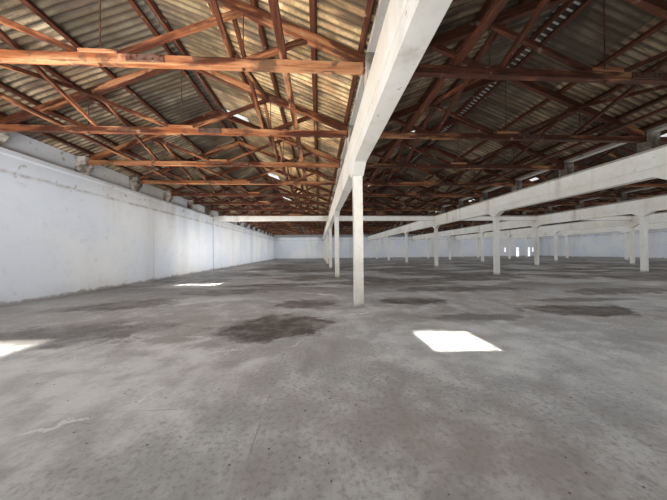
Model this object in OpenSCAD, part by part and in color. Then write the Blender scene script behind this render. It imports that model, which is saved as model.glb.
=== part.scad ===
// Multi-nave factory hall: white concrete columns and valley beams, timber trusses,
// corrugated gable roofs side by side. A scale model at 1:2, all sizes in model millimetres.
// X runs across the naves, Y along them, Z up. The origin is under the middle of the hall.

/* [Grid] */
// Distance between two column rows
nave_w = 5000; // [4400:20:5600]
// Distance from the outer bearing line to the first column row
edge_nave_w = 5170; // [4600:10:5800]
// Distance between two columns of a row
bay = 4000; // [3400:50:4600]
// Number of bays from end wall to end wall
bays = 7; // [5:1:8]

/* [Floor and walls] */
// Thickness of the floor slab
floor_t = 75; // [60:5:120]
// Thickness of the outer walls
wall_t = 150; // [120:5:200]
// Space between a side wall's face and the bearing line of its trusses
wall_gap = 70; // [60:5:90]
// Height of the ring beam's underside above the floor
ring_z = 2030; // [1950:10:2100]
// Height of the ring beam without its ledge
ring_h = 260; // [200:10:300]
// How far the ring beam stands proud of the wall
ring_proud = 12; // [6:1:20]
// Height of the ledge on the ring beam
ledge_h = 80; // [50:5:100]
// How far the ledge stands proud of the wall
ledge_proud = 45; // [30:1:60]
// How far the wall above the ledge is set back
upper_recess = 50; // [20:5:70]
// Width of a wall pier
pier_w = 150; // [100:5:200]
// How far a wall pier stands proud of the wall
pier_proud = 10; // [6:1:11]
// How far the two piers under the cross beam stand proud
cross_pier_proud = 60; // [40:5:80]

/* [Doors and windows] */
// Width of a doorway
door_w = 450; // [400:10:600]
// Height of a doorway above the floor
door_h = 1050; // [1000:10:1200]
// Width of a small window
window_w = 300; // [250:10:400]
// Height of a small window
window_h = 500; // [400:10:600]
// Height of a window's sill above the floor
sill_z = 520; // [450:10:600]

/* [Columns and beams] */
// Side of the square columns
column_w = 125; // [110:1:145]
// Width of the valley beams and of the column heads
beam_w = 155; // [150:1:200]
// Height of the valley beams' underside above the floor
beam_z = 1940; // [1850:10:2000]
// Depth of the valley beams
beam_h = 470; // [440:5:520]
// Height of a column head's sloping haunch
haunch_h = 120; // [80:5:160]
// Length of a haunch along the beam
haunch_l = 210; // [120:5:260]
// Height of the groove in a beam's side above its underside
groove_z = 140; // [110:5:170]
// Width of the groove
groove_w = 10; // [6:1:16]
// Depth of the groove
groove_d = 6; // [3:1:10]
// Column line that carries the cross beam, counted from the front wall
cross_line = 3; // [1:1:4]
// Depth of the cross beam
cross_h = 230; // [180:5:280]
// Thickness of the cross beam
cross_t = 140; // [100:5:180]

/* [Bearing blocks and gutters] */
// Height of a block up to the tie beam that it carries
seat_h = 145; // [120:5:180]
// Height of a block above its tie beam's top
block_rise = 50; // [30:5:60]
// Length of a block along the beam
block_l = 195; // [160:5:240]
// Depth of the pocket for a tie beam's end
pocket = 50; // [40:1:55]
// How far a gutter's side is in from the face of the beam below it
gutter_inset = 15; // [8:1:22]
// Height of a valley gutter
gutter_h = 66; // [50:1:70]
// Thickness of a valley gutter's walls
gutter_t = 12; // [8:1:16]

/* [Roof trusses] */
// Distance between two trusses
truss_pitch = 1400; // [1200:10:1600]
// Distance from the front wall to the first truss
first_truss = 175; // [150:5:400]
// Slope of the roof in degrees
roof_pitch = 21.5; // [19:0.5:24]
// Depth of a tie beam
tie_h = 85; // [70:1:100]
// Thickness of a tie beam
tie_t = 70; // [60:1:80]
// Depth of a rafter
rafter_h = 95; // [80:1:110]
// Thickness of a rafter
rafter_t = 64; // [50:1:80]
// Length of a rafter's seat on the tie beam
rafter_seat = 60; // [40:1:80]
// Width of a strut
strut_w = 50; // [40:1:60]
// Thickness of a strut
strut_t = 45; // [35:1:60]
// Place of the side rods, as a share of half the span
rod_share = 0.51; // [0.48:0.01:0.54]
// Place of the outer struts' heads, as a share of half the span
head_share = 0.77; // [0.74:0.01:0.8]
// Diameter of an iron rod
rod_d = 12; // [8:1:14]
// Length of the bolster on the middle of a tie beam
bolster_l = 350; // [280:10:420]
// Height of the bolster
bolster_h = 40; // [30:1:50]
// Length of a splice board on a tie beam
splice_l = 340; // [260:10:400]
// Width of a splice board
splice_w = 68; // [50:1:70]
// Thickness of a splice board
splice_t = 14; // [10:1:20]
// Place of the binders on the tie beams, as a share of half the span
binder_share = 0.66; // [0.64:0.01:0.68]
// Width of a binder
binder_w = 70; // [50:1:80]
// Height of a binder
binder_h = 45; // [35:1:50]
// Side of a square diagonal brace between two trusses
brace_w = 45; // [35:1:55]

/* [Roof covering] */
// Width of a purlin
purlin_w = 50; // [40:1:70]
// Depth of a purlin
purlin_h = 60; // [50:1:70]
// Place of the upper purlins, as a share of half the span
upper_share = 0.36; // [0.33:0.01:0.39]
// Place of the middle purlins, as a share of half the span
middle_share = 0.55; // [0.53:0.01:0.6]
// Distance of the ridge purlins from the ridge line
ridge_gap = 95; // [70:5:130]
// Depth of the corrugated sheets, from valley to crest
sheet_h = 25; // [18:1:30]
// How far the sheets reach past the end walls
verge = 75; // [40:5:120]
// How far the sheets reach past the side walls
eaves = 120; // [60:5:180]
// Length of a ridge cap's wing
cap_w = 150; // [120:5:200]
// Thickness of a ridge cap
cap_t = 10; // [8:1:14]
// Width of a skylight sheet along the roof
skylight_w = 500; // [400:10:600]
// Length of a skylight sheet down the slope
skylight_l = 480; // [400:10:500]

/* [Hidden] */
naves = 6;
rows = naves - 1;

white = "whitesmoke";
timber = "peru";
// Clearance between a rafter's foot and the block beside it
foot_gap = 2.5;
// Clearance between the ridge ends of two rafters and the king rod
ridge_clear = 1;
// Radius and height of the nut and plate under a tie beam
nut_r = 14;
nut_h = 8;
// Smallest distance from the last truss to the rear wall
last_gap = 100;
// Number of sheet courses on a slope, and how far each stands up where it laps the next
courses = 3;
lap = 12;
// Half the slot between the two slopes at the ridge, under the cap
ridge_open = 20;
// Distance from a column row to the sheets' edge over its gutter
over_gutter = 30;
// Distance of the skylights from the ridge line, in odd naves and in even ones
light_x = [130, 860];
// Clearance of a diagonal brace from the side rod or the brace beside it
brace_gap = 20;
// Distance of the splice boards' middle from the king rod
splice_x = 430;
// How far a cut runs past the face that it opens
past = 1;

hall_l = bays * bay;
front_y = -hall_l / 2;
rear_y = hall_l / 2;
trusses = floor((hall_l - first_truss - last_gap) / truss_pitch) + 1;

// Levels above the ground, which is the underside of the floor slab
soffit = floor_t + beam_z;
beam_top = soffit + beam_h;
tie_low = beam_top + seat_h;
tie_top = tie_low + tie_h;
block_top = tie_top + block_rise;
ring_low = floor_t + ring_z;
ledge_top = ring_low + ring_h + ledge_h;
slope = tan(roof_pitch);
gutter_w = beam_w - 2 * gutter_inset;
skylight_run = skylight_l * cos(roof_pitch);

// Row 0 and the last row are the bearing lines at the side walls
function row_x(k) = k == 0 ? -row_x(naves)
    : k == naves ? (naves / 2 - 1) * nave_w + edge_nave_w
    : (k - naves / 2) * nave_w;
function line_y(j) = front_y + j * bay;
function middle(k) = (row_x(k - 1) + row_x(k)) / 2;
function half(k) = (row_x(k) - row_x(k - 1)) / 2;
function truss_y(i) = front_y + first_truss + i * truss_pitch;
wall_x = row_x(naves) + wall_gap;
outer_x = wall_x + wall_t;

// Roof planes, at distance d from a bearing line towards the ridge
foot_d = beam_w / 2 + foot_gap;
seat_d = foot_d + rafter_seat;
function rafter_low(d) = tie_top + (d - seat_d) * slope;
function rafter_top(d) = rafter_low(d) + rafter_h / cos(roof_pitch);
function sheet_low(d) = rafter_top(d) + purlin_h / cos(roof_pitch);

// Extrudes an outline drawn in X and Z along Y, and one drawn in Y and Z along X
module along_y(y0, y1)
    translate([0, y1, 0]) rotate([90, 0, 0]) linear_extrude(height = y1 - y0) children();
module along_x(x0, x1)
    translate([x0, 0, 0]) rotate([90, 0, 90]) linear_extrude(height = x1 - x0) children();
module each_truss() for (i = [0:trusses - 1]) translate([0, truss_y(i), 0]) children();
// Draws its children for each nave, in the nave's middle; $half is half its span
module each_nave() for (k = [1:naves]) translate([middle(k), 0, 0]) {
    $half = half(k);
    children();
}
module both_sides() for (s = [0, 1]) mirror([s, 0, 0]) children();

module floor_slab() color("darkgray")
    translate([-wall_x, front_y, 0]) cube([2 * wall_x, hall_l, floor_t]);

// A side wall's outline, with its face towards the middle at x = 0 and growing in +X
module side_wall_outline() {
    square([wall_t, ring_low]);
    polygon([[upper_recess, ledge_top], [wall_t, ledge_top],
        [wall_t, sheet_low(-wall_gap - wall_t)],
        [upper_recess, sheet_low(-wall_gap - upper_recess)]]);
}
module ring_outline()
    polygon([[-ring_proud, ring_low], [wall_t, ring_low], [wall_t, ledge_top],
        [-ledge_proud + ring_proud, ledge_top], [-ledge_proud, ledge_top - ring_proud],
        [-ledge_proud, ring_low + ring_h], [-ring_proud, ring_low + ring_h - ledge_proud / 2]]);
module right_wall() color(white)
    along_y(front_y, rear_y) translate([wall_x, 0]) side_wall_outline();
module right_ring_beam() color(white)
    along_y(front_y, rear_y) translate([wall_x, 0]) ring_outline();
// Piers stand on every column line, the two at the cross beam reach further out
module right_wall_piers() color(white)
    for (j = [1:bays - 1]) {
        carries = j == cross_line;
        proud = carries ? cross_pier_proud : pier_proud;
        along_y(line_y(j) - pier_w / 2, line_y(j) + pier_w / 2) translate([wall_x, 0]) {
            translate([-proud, floor_t]) square([proud, ring_low - floor_t]);
            if (carries) translate([-proud, floor_t])
                square([proud - ring_proud, beam_top - cross_h - floor_t]);
        }
    }
module left_wall() mirror([1, 0, 0]) right_wall();
module left_ring_beam() mirror([1, 0, 0]) right_ring_beam();
module left_wall_piers() mirror([1, 0, 0]) right_wall_piers();

// Places of the openings in an end wall, from the last column row outwards
door_places = [0.94, 1.46];
window_places = [0.36, 1.66];
function opening_x(share) = row_x(rows) + share * edge_nave_w / 2;
module end_wall_outline() difference() {
    union() {
        translate([-outer_x, 0]) square([2 * outer_x, tie_low]);
        for (k = [1:rows]) translate([row_x(k) - gutter_w / 2, tie_low])
            square([gutter_w, block_top - tie_low]);
    }
    for (p = door_places)
        translate([opening_x(p) - door_w / 2, floor_t]) square([door_w, door_h]);
    for (p = window_places)
        translate([opening_x(p) - window_w / 2, floor_t + sill_z]) square([window_w, window_h]);
}
module rear_wall() color(white) along_y(rear_y, rear_y + wall_t) end_wall_outline();
module front_wall() mirror([0, 1, 0]) rear_wall();
// One gable a nave, between the gutters; the outer two run out to the side walls' faces
module gable_outline(k) {
    left = k == 1 ? outer_x + row_x(0) : -gutter_w / 2;
    right = k == naves ? outer_x - row_x(naves) : -gutter_w / 2;
    h = half(k);
    translate([middle(k), 0])
        polygon([[-h - left, tie_low], [h + right, tie_low], [h + right, sheet_low(-right)],
            [0, sheet_low(h)], [-h - left, sheet_low(-left)]]);
}
module rear_gables() color(white)
    for (k = [1:naves]) along_y(rear_y, rear_y + wall_t) gable_outline(k);
module front_gables() mirror([0, 1, 0]) rear_gables();

module column() {
    translate([-column_w / 2, -column_w / 2, floor_t]) cube([column_w, column_w, beam_z]);
    along_x(-beam_w / 2, beam_w / 2)
        polygon([[-column_w / 2, soffit - haunch_h], [column_w / 2, soffit - haunch_h],
            [column_w / 2 + haunch_l, soffit], [-column_w / 2 - haunch_l, soffit]]);
}
module columns(k) color(white)
    for (j = [1:bays - 1]) translate([row_x(k), line_y(j), 0]) column();

module valley_beam(k) color(white) along_y(front_y, rear_y) translate([row_x(k), soffit])
    difference() {
        translate([-beam_w / 2, 0]) square([beam_w, beam_h]);
        both_sides() translate([beam_w / 2 - groove_d, groove_z]) square([groove_d + past, groove_w]);
    }
module cross_beam() color(white)
    for (k = [1:naves]) {
        x0 = k == 1 ? -wall_x + ledge_proud : row_x(k - 1) + beam_w / 2;
        x1 = k == naves ? wall_x - ledge_proud : row_x(k) - beam_w / 2;
        translate([x0, line_y(cross_line) - cross_t / 2, beam_top - cross_h])
            cube([x1 - x0, cross_t, cross_h]);
    }

// Concrete blocks, with pockets that the tie beams' ends lie in
module tie_pocket(x0)
    translate([x0, -tie_t / 2, tie_low]) cube([pocket, tie_t, tie_h]);
module beam_blocks() color(white)
    for (k = [1:rows]) translate([row_x(k), 0, 0]) each_truss() difference() {
        translate([-beam_w / 2, -block_l / 2, beam_top])
            cube([beam_w, block_l, block_top - beam_top]);
        both_sides() tie_pocket(beam_w / 2 - pocket);
    }
module wall_blocks() color(white)
    both_sides() each_truss() difference() {
        along_y(-block_l / 2, block_l / 2)
            polygon([[row_x(naves) - beam_w / 2, tie_low - seat_h / 4],
                [wall_x - ledge_proud + ring_proud, ledge_top], [wall_x + upper_recess, ledge_top],
                [wall_x + upper_recess, block_top], [row_x(naves) - beam_w / 2, block_top]]);
        tie_pocket(row_x(naves) - beam_w / 2);
    }

module valley_gutters() color("lightgray")
    for (k = [1:rows])
        along_y(front_y - wall_t - verge, rear_y + wall_t + verge)
            translate([row_x(k) - gutter_w / 2, block_top]) difference() {
                square([gutter_w, gutter_h]);
                translate([gutter_t, gutter_t])
                    square([gutter_w - 2 * gutter_t, gutter_h]);
            }

// The timbers of one truss, in a nave with half span h
module tie_beams() color(timber) each_nave() each_truss() {
    l = $half - beam_w / 2 + pocket;
    translate([-l, -tie_t / 2, tie_low]) cube([2 * l, tie_t, tie_h]);
}
// A tie beam is spliced right of its middle, with a board on each face
module splice_boards() color(timber) each_nave() each_truss()
    for (y = [-tie_t / 2 - splice_t, tie_t / 2])
        translate([splice_x - splice_l / 2, y, tie_low + (tie_h - splice_w) / 2])
            cube([splice_l, splice_t, splice_w]);
module rafter_outline(h) {
    end_x = rod_d / 2 + ridge_clear;
    polygon([[h - foot_d, tie_top], [h - foot_d, rafter_top(foot_d)],
        [end_x, rafter_top(h - end_x)], [end_x, rafter_low(h - end_x)], [h - seat_d, tie_top]]);
}
module rafters() color(timber) each_nave() each_truss() both_sides()
    along_y(-rafter_t / 2, rafter_t / 2) rafter_outline($half);

// Height at its butt of a timber of width w that climbs with gradient m from a seat
function butt_h(w, m, seat) = w * sqrt(1 + m * m) - seat * m;
// A strut's edge is a line through p with gradient m: where it meets the rafter above
function meet_rafter(p, m, h) =
    let (x = (rafter_low(h) - p[1] + m * p[0]) / (m + slope)) [x, rafter_low(h - x)];
// A strut with its butt at x = foot and a seat on the tie beam, its head ending at x = head
module strut_outline(foot, seat, head, h) {
    toe = [foot + seat, tie_top];
    top = [head, rafter_low(h - head)];
    m = (top[1] - toe[1]) / (top[0] - toe[0]);
    butt = [foot, tie_top + butt_h(strut_w, m, seat)];
    polygon([[foot, tie_top], toe, top, meet_rafter(butt, m, h), butt]);
}
// Inner struts butt against the bolster; outer ones stand at the side rods and end at a purlin
module struts() color(timber) each_nave() each_truss() both_sides()
    along_y(-strut_t / 2, strut_t / 2) {
        side_x = rod_share * $half;
        strut_outline(bolster_l / 2, 0.7 * strut_w, side_x - rod_d, $half);
        strut_outline(side_x + rod_d, 2 * strut_w, head_share * $half - purlin_w, $half);
    }
module king_bolsters() color(timber) each_nave() each_truss() difference() {
    translate([-bolster_l / 2, -tie_t / 2, tie_top]) cube([bolster_l, tie_t, bolster_h]);
    translate([0, 0, tie_top - past])
        cylinder(d = rod_d, h = bolster_h + 2 * past, $fn = 24);
}
module rod(x, z0, z1) {
    translate([x, 0, z0]) cylinder(d = rod_d, h = z1 - z0, $fn = 24);
    translate([x, 0, tie_low - nut_h]) cylinder(r = nut_r, h = nut_h, $fn = 24);
}
module tie_rods() color("dimgray") each_nave() each_truss() {
    rod(0, tie_top, rafter_top($half));
    for (s = [-1, 1])
        rod(s * rod_share * $half, tie_top, rafter_low((1 - rod_share) * $half - rod_d / 2));
}

module binders() color(timber) each_nave() both_sides()
    translate([binder_share * $half - binder_w / 2, front_y, tie_top])
        cube([binder_w, hall_l, binder_h]);
// A brace climbs from one tie beam to the side of the next rafter, in plane 1 or 2 from the rod
module brace(h, plane) {
    x = rod_share * h - rod_d / 2 - plane * (brace_gap + brace_w);
    toe = [tie_t / 2, tie_top];
    top = [truss_pitch - rafter_t / 2, rafter_low(h - x - brace_w)];
    m = (top[1] - toe[1]) / (top[0] - toe[0]);
    along_x(x, x + brace_w)
        polygon([[-tie_t / 2, tie_top], toe, top, top + [0, butt_h(brace_w, m, 0)],
            [-tie_t / 2, tie_top + butt_h(brace_w, m, tie_t)]]);
}
// One brace in every bay of trusses climbs towards the front, and a second crosses every other
module sway_braces() color(timber) each_nave() both_sides() {
    for (i = [1:trusses - 1]) translate([0, truss_y(i), 0]) mirror([0, 1, 0]) brace($half, 2);
    for (i = [0:2:trusses - 2]) translate([0, truss_y(i), 0]) brace($half, 1);
}

// A purlin at distance d from the bearing line, square to the slope
module purlin(d, h) along_y(front_y, rear_y)
    translate([h - d, rafter_top(d)]) rotate(-roof_pitch)
        translate([-purlin_w / 2, 0]) square([purlin_w, purlin_h]);
module eaves_purlins() color(timber) each_nave() both_sides()
    purlin(foot_d + purlin_w, $half);
module slope_purlins() color(timber) each_nave() both_sides()
    for (share = [upper_share, middle_share, head_share]) purlin((1 - share) * $half, $half);
module ridge_purlins() color(timber) each_nave() both_sides() purlin($half - ridge_gap, $half);

// A point on a slope of a nave with half span h: d from the bearing line, up from the purlins
function on_slope(h, d, up) = [h - d, sheet_low(d) + up / cos(roof_pitch)];
// The sheets of a slope start at d0 over the gutter or past the wall and end near the ridge
function course_d(h, d0, i) = d0 + (h - ridge_open - d0) * i / courses;
module slope_outline(h, d0) polygon(concat(
    [on_slope(h, d0, 0), on_slope(h, h - ridge_open, 0)],
    [for (i = [courses - 1:-1:0]) each [
        on_slope(h, course_d(h, d0, i + 1), sheet_h),
        on_slope(h, course_d(h, d0, i), sheet_h + lap)]]));
// Skylights lie near the ridge on the right slope in odd naves, and on the left slope, in its
// middle course, in even naves
function is_even(k) = (k + 1) % 2;
module skylight_outline(k, up) {
    high = half(k) - light_x[is_even(k)];
    low = high - skylight_run;
    polygon([on_slope(half(k), high, 0), on_slope(half(k), low, 0),
        on_slope(half(k), low, up), on_slope(half(k), high, up)]);
}
module at_lights(k) mirror([is_even(k), 0, 0]) for (j = [0:bays - 1])
    translate([0, line_y(j) + bay / 2 - skylight_w / 2, 0]) along_y(0, skylight_w) children();
function eaves_d(k, side) = (side < 0 && k == 1) || (side > 0 && k == naves)
    ? -wall_gap - wall_t - eaves : over_gutter;
module nave_roof(k) color("tan") translate([middle(k), 0, 0]) difference() {
    for (side = [-1, 1]) mirror([side < 0 ? 1 : 0, 0, 0])
        along_y(front_y - wall_t - verge, rear_y + wall_t + verge)
            slope_outline(half(k), eaves_d(k, side));
    at_lights(k) translate([0, -past]) skylight_outline(k, 3 * sheet_h);
}
module skylight_sheets() color("azure") for (k = [1:naves])
    translate([middle(k), 0, 0]) at_lights(k) skylight_outline(k, sheet_h);

// Height of the top course's upper side, at distance d from the bearing line
function cover(h, d) = sheet_h + lap * (h - ridge_open - d) * courses / (h - ridge_open - over_gutter);
module ridge_cap(h) {
    tip = on_slope(h, h, cover(h, h));
    wing = on_slope(h, h - cap_w, cover(h, h - cap_w) + ridge_clear);
    rise = [0, cap_t / cos(roof_pitch)];
    left = [-wing[0], wing[1]];
    along_y(front_y - wall_t - verge, rear_y + wall_t + verge)
        polygon([left, tip, wing, wing + rise, tip + rise, left + rise]);
}
module ridge_caps() color("tan") each_nave() ridge_cap($half);

floor_slab();
left_wall();
right_wall();
front_wall();
rear_wall();
left_ring_beam();
right_ring_beam();
left_wall_piers();
right_wall_piers();
front_gables();
rear_gables();
columns(1);  // columns_row_1
columns(2);  // columns_row_2
columns(3);  // columns_row_3
columns(4);  // columns_row_4
columns(5);  // columns_row_5
valley_beam(1);  // valley_beam_1
valley_beam(2);  // valley_beam_2
valley_beam(3);  // valley_beam_3
valley_beam(4);  // valley_beam_4
valley_beam(5);  // valley_beam_5
cross_beam();
beam_blocks();
wall_blocks();
valley_gutters();
tie_beams();
splice_boards();
rafters();
struts();
king_bolsters();
tie_rods();
binders();
sway_braces();
eaves_purlins();
slope_purlins();
ridge_purlins();
nave_roof(1);  // nave_1_roof
nave_roof(2);  // nave_2_roof
nave_roof(3);  // nave_3_roof
nave_roof(4);  // nave_4_roof
nave_roof(5);  // nave_5_roof
nave_roof(6);  // nave_6_roof
skylight_sheets();
ridge_caps();
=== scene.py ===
# Factory hall at 1:2, six naves of seven bays. Metres, Z up, X across the naves, Y along them.
import math
import bpy
from mathutils import Matrix, Vector


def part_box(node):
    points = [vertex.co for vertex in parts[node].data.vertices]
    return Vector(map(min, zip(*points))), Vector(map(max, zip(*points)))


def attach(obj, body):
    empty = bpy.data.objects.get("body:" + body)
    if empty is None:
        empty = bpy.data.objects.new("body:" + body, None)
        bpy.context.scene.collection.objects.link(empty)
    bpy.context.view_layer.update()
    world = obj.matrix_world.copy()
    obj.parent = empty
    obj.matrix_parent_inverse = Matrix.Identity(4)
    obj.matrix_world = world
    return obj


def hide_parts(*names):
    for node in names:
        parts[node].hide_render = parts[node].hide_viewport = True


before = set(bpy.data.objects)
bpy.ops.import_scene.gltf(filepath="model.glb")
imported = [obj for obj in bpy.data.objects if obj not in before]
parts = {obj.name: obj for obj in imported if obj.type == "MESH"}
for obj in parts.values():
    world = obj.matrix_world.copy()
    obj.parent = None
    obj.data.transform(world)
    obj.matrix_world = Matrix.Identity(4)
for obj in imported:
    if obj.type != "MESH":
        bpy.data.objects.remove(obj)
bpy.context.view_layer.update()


# ---- Camera, light and ground
# The photograph is taken from standing height in the first nave, beside the first column row,
# looking along the naves. The light is a pale studio sky with soft lamps inside the hall, and a
# weak sun through the rooflights.
camera_at = (-10.5585, -13.49, 0.85)
camera_yaw, camera_pitch, camera_roll, camera_lens = 0.0606, 0.0057, -0.0100, 13.49
bpy.ops.object.camera_add(location=camera_at)
camera = bpy.context.object
camera.rotation_mode = "QUATERNION"
camera.rotation_quaternion = (Matrix.Rotation(-camera_yaw, 4, "Z")
                              @ Matrix.Rotation(math.pi / 2 + camera_pitch, 4, "X")
                              @ Matrix.Rotation(camera_roll, 4, "Z")).to_quaternion()
camera.data.lens = camera_lens
camera.data.sensor_width = 36
camera.data.clip_start, camera.data.clip_end = 0.01, 300
bpy.context.scene.camera = camera
bpy.context.scene.view_settings.view_transform = "Standard"


def lamp(kind, at, aim, strength, **settings):
    """Hangs a lamp that shines along aim and isn't seen itself."""
    bpy.ops.object.light_add(type=kind, location=at)
    light = bpy.context.object
    light.rotation_mode = "QUATERNION"
    light.rotation_quaternion = Vector(aim).to_track_quat("-Z", "Y")
    light.data.energy = strength
    for name, value in settings.items():
        setattr(light.data, name, value)
    light.visible_camera = light.visible_glossy = False
    return light


def panel(at, aim, watts, width, length, color=(1, 0.98, 0.95), spread=180):
    """Hangs a soft rectangular lamp whose light spreads by an angle in degrees."""
    return lamp("AREA", at, aim, watts, shape="RECTANGLE", size=width, size_y=length, color=color,
                spread=math.radians(spread))


def extent(node, axis):
    """A CAD node's lowest and highest place along an axis, to a tenth of a millimetre."""
    low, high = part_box(node)
    return round(low[axis], 4), round(high[axis], 4)


# One lamp on the floor shines up, one under the ties shines down, and one at the front wall
# shines along the naves. The first nave has brighter ones of its own.
lamp_l, above_floor, below_ties = 27.8, 0.09, 2.46
for middle_x, width, up, down, ahead in ((-12.585, 4.8, 166, 415, 138),
                                         (2.6, 25.1, 300, 1850, 115)):
    panel((middle_x, 0, above_floor), (0, 0, 1), up, width, lamp_l, (1, 0.97, 0.93))
    panel((middle_x, 0, below_ties), (0, 0, -1), down, width - 0.4, lamp_l, (0.96, 0.98, 1))
    panel((middle_x - 0.3, -13.7, 0.5), (-0.05, 1, 0.9), ahead, width - 1.0, 0.6, spread=95)
# The white outer wall throws light back on the beams and on the slope that faces it
panel((-15.0, -5.0, 1.4), (1, 0, 0.6), 250, 17.0, 1.0, (1, 0.89, 0.72), spread=60)
# The sunlit floor lights the outer wall and the front of the columns
panel((-12.9, 2.5, 1.0), (-1, 0.2, 0.1), 90, 15.0, 1.4)
panel((-10.3, -13.9, 1.2), (0, 1, 0.02), 5, 1.6, 1.0, (1, 0.96, 0.88), spread=35)
sun_way, sun_colour = Vector((-0.93, 0.7, -3.55)), (1, 0.97, 0.92)
lamp("SUN", (0, 0, 8), sun_way, 4.2, angle=0.012, color=sun_colour)
# Narrow lamps below the ties make up the sun that falls through the rooflights, each a sharp
# rectangle on the floor that is square to the naves
towards_sun = -sun_way.normalized()
side = Vector((0, 1, 0)).cross(towards_sun).normalized()
square = Matrix((side, towards_sun.cross(side), towards_sun)).transposed().to_quaternion()
floor_top, patch_lift, patch_l = extent("floor_slab", 2)[1], 1.9, 0.46
for x, y, watts, patch_w in ((-9.41, -11.4, 2.6, 0.5), (-13.25, -11.3, 2.2, 0.5),
                             (-13.45, -7.15, 8.0, 0.95)):
    patch = panel(Vector((x, y, floor_top)) + sun_way * (patch_lift / sun_way.z), sun_way, watts,
                  patch_w, patch_l, sun_colour, spread=1)
    patch.rotation_quaternion = square


def set_inputs(tree, item, inputs):
    """Sets a node's sockets, each to a number, a colour or another node's output."""
    for name, value in inputs.items():
        if isinstance(value, bpy.types.NodeSocket):
            tree.links.new(value, item.inputs[name])
        else:
            item.inputs[name].default_value = value


def add(tree, kind, inputs=None, **settings):
    """Adds a shader node with its settings and inputs."""
    item = tree.nodes.new("ShaderNode" + kind)
    for name, value in settings.items():
        setattr(item, name, value)
    set_inputs(tree, item, inputs or {})
    return item


def number(tree, operation, a, b=0.0, c=0.0):
    """The outcome of a sum on one, two or three numbers."""
    return add(tree, "Math", {0: a, 1: b, 2: c}, operation=operation).outputs[0]


sky = bpy.data.worlds.new("studio_sky")
bpy.context.scene.world = sky
sky.use_nodes = True
tree = sky.node_tree
tree.nodes.clear()
# The sky is white where it is seen, also in a gloss or through a sheet, and lights with less
path = add(tree, "LightPath").outputs
seen = number(tree, "MAXIMUM", path["Is Camera Ray"], path["Is Glossy Ray"])
seen = number(tree, "MAXIMUM", seen, path["Is Transmission Ray"])
dim = add(tree, "Background", {"Color": (0.93, 0.96, 1, 1), "Strength": 0.75})
bright = add(tree, "Background", {"Color": (1, 1, 1, 1), "Strength": 1.0})
both = add(tree, "MixShader", {0: seen, 1: dim.outputs[0], 2: bright.outputs[0]})
add(tree, "OutputWorld", {"Surface": both.outputs[0]})


def mix(tree, factor, a, b, blend="MIX"):
    """Mixes two colours, each a colour or another node's output."""
    return add(tree, "Mix", {0: factor, 6: a, 7: b}, data_type="RGBA", blend_type=blend,
               clamp_factor=True).outputs[2]


def noise(tree, at, scale, detail, roughness=0.5, distortion=0.0):
    """Cloudy noise, from 0 to 1."""
    return add(tree, "TexNoise", {"Vector": at, "Scale": scale, "Detail": detail,
                                  "Roughness": roughness, "Distortion": distortion}).outputs[0]


def finish(name):
    """Starts a material: its tree, its shader and the place on the part that it reads."""
    made = bpy.data.materials.new(name)
    made.use_nodes = True
    tree = made.node_tree
    tree.nodes.clear()
    shader = add(tree, "BsdfPrincipled")
    add(tree, "OutputMaterial", {"Surface": shader.outputs[0]})
    return made, tree, shader, add(tree, "TexCoord").outputs["Object"]


ground_mat, tree, shader, place = finish("studio_ground")
colour = mix(tree, noise(tree, place, 0.4, 3), (0.66, 0.66, 0.65, 1), (0.7, 0.7, 0.69, 1))
set_inputs(tree, shader, {"Base Color": colour, "Roughness": 0.9})
bpy.ops.object.select_all(action="DESELECT")
bpy.ops.mesh.primitive_plane_add(size=260, location=(0, 0, -0.002))
ground = bpy.context.object
ground.name = "studio_ground"
ground.data.materials.append(ground_mat)


# ---- Floor
# The floor is one concrete slab, cast in fields and worn by machines. Dust makes it light,
# old oil and wet dirt leave dark blotches, and thin cracks and joints run through it.
def shared_effect(name, result, **inputs):
    """Starts a node group with one result; an input that has no number is a vector."""
    effect = bpy.data.node_groups.new(name, "ShaderNodeTree")
    for socket, value in inputs.items():
        kind = "NodeSocketVector" if value is None else "NodeSocketFloat"
        made = effect.interface.new_socket(name=socket, in_out="INPUT", socket_type=kind)
        if value is not None:
            made.default_value = value
    effect.interface.new_socket(name=result, in_out="OUTPUT", socket_type="NodeSocketFloat")
    return effect, effect.nodes.new("NodeGroupInput").outputs, effect.nodes.new("NodeGroupOutput")


def placed(tree, effect, **inputs):
    """Places a shared effect in a material and gives what it puts out."""
    return add(tree, "Group", inputs, node_tree=effect).outputs[0]


def times(tree, a, b):
    """The product of two numbers."""
    return number(tree, "MULTIPLY", a, b)


def between(tree, value, low, high, to_low=0.0, to_high=1.0):
    """Turns a value that runs from low to high into one that runs from to_low to to_high."""
    return add(tree, "MapRange", {0: value, 1: low, 2: high, 3: to_low, 4: to_high},
               interpolation_type="SMOOTHSTEP").outputs[0]


def stretched(tree, at, by):
    """A place with each axis scaled by its own number."""
    return add(tree, "VectorMath", {0: at, 1: by}, operation="MULTIPLY").outputs[0]


def axes(tree, at):
    """The X, Y and Z of a place or a direction."""
    return add(tree, "SeparateXYZ", {0: at}).outputs


def tint(tree, colour, by):
    """A colour multiplied by another one."""
    return mix(tree, 1.0, colour, by, "MULTIPLY")


# Dirt that settles in ragged patches: noise that is cut off at a level
patches, given, out = shared_effect("ragged_patches", "Mask", Vector=None, Scale=1.0, Level=0.5,
                                    Softness=0.1)
cloudy = noise(patches, given["Vector"], given["Scale"], 6, 0.62)
top = number(patches, "ADD", given["Level"], given["Softness"])
set_inputs(patches, out, {"Mask": between(patches, cloudy, given["Level"], top)})

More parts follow.
